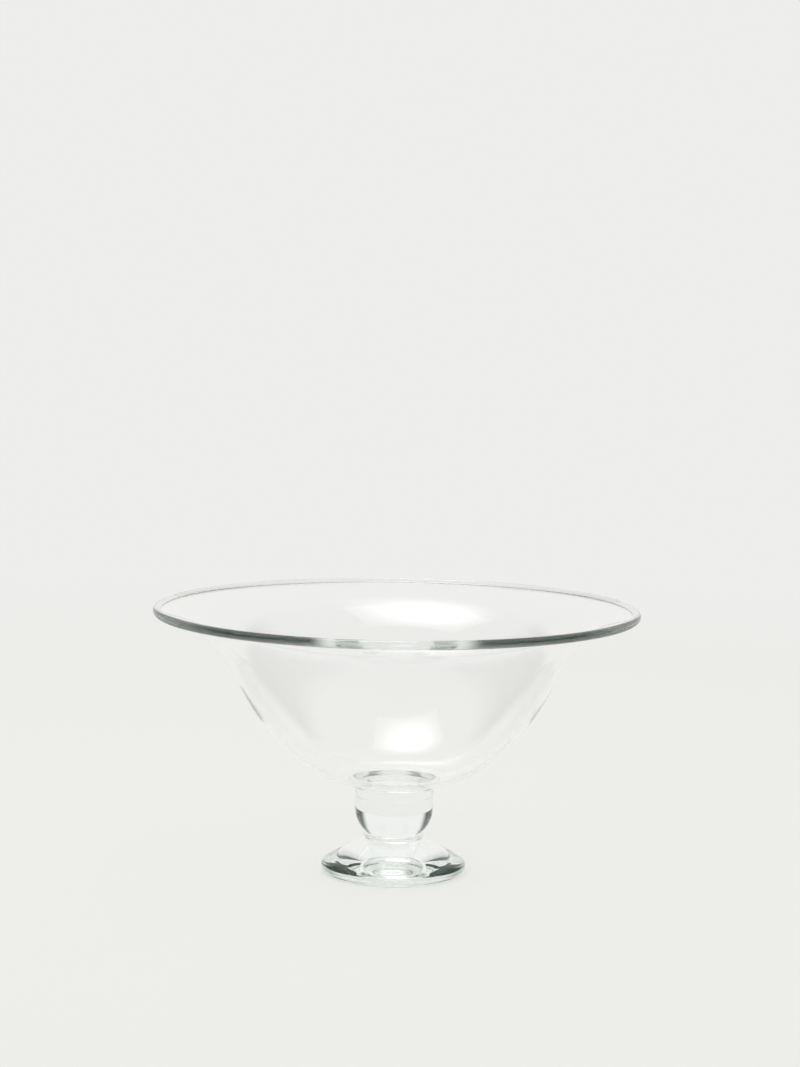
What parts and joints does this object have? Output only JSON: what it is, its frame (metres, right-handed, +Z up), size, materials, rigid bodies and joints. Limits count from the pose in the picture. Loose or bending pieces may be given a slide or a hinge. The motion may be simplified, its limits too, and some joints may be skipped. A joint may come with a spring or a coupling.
{
  "type": "footed fruit bowl",
  "caption": "Clear glass footed bowl: a wide flared cup with a rounded rim bead, on a short stem with a solid knop and a domed foot. It holds fruit on a table.",
  "frame": {"origin": "centre of the circle that the foot stands on, in the plane of the table", "axes": "+Z up along the axis that every piece is turned round; X and Y are equal directions across the rim"},
  "size_m": [0.28, 0.28, 0.155],
  "materials": {
    "blown_glass": "clear blown soda-lime glass, fire polished, slightly wavy",
    "rim_glass": "clear soda-lime glass, fire polished, faint green where it is thick",
    "stem_glass": "clear solid soda-lime glass, fire polished",
    "foot_glass": "clear solid soda-lime glass, fire polished, faint green where it is thick"
  },
  "bodies": {
    "root": {"bowl": "blown_glass", "rim_bead": "rim_glass", "upper_collar": "stem_glass", "stem_knop": "stem_glass", "lower_collar": "stem_glass", "foot": "foot_glass"}
  },
  "joints": []
}
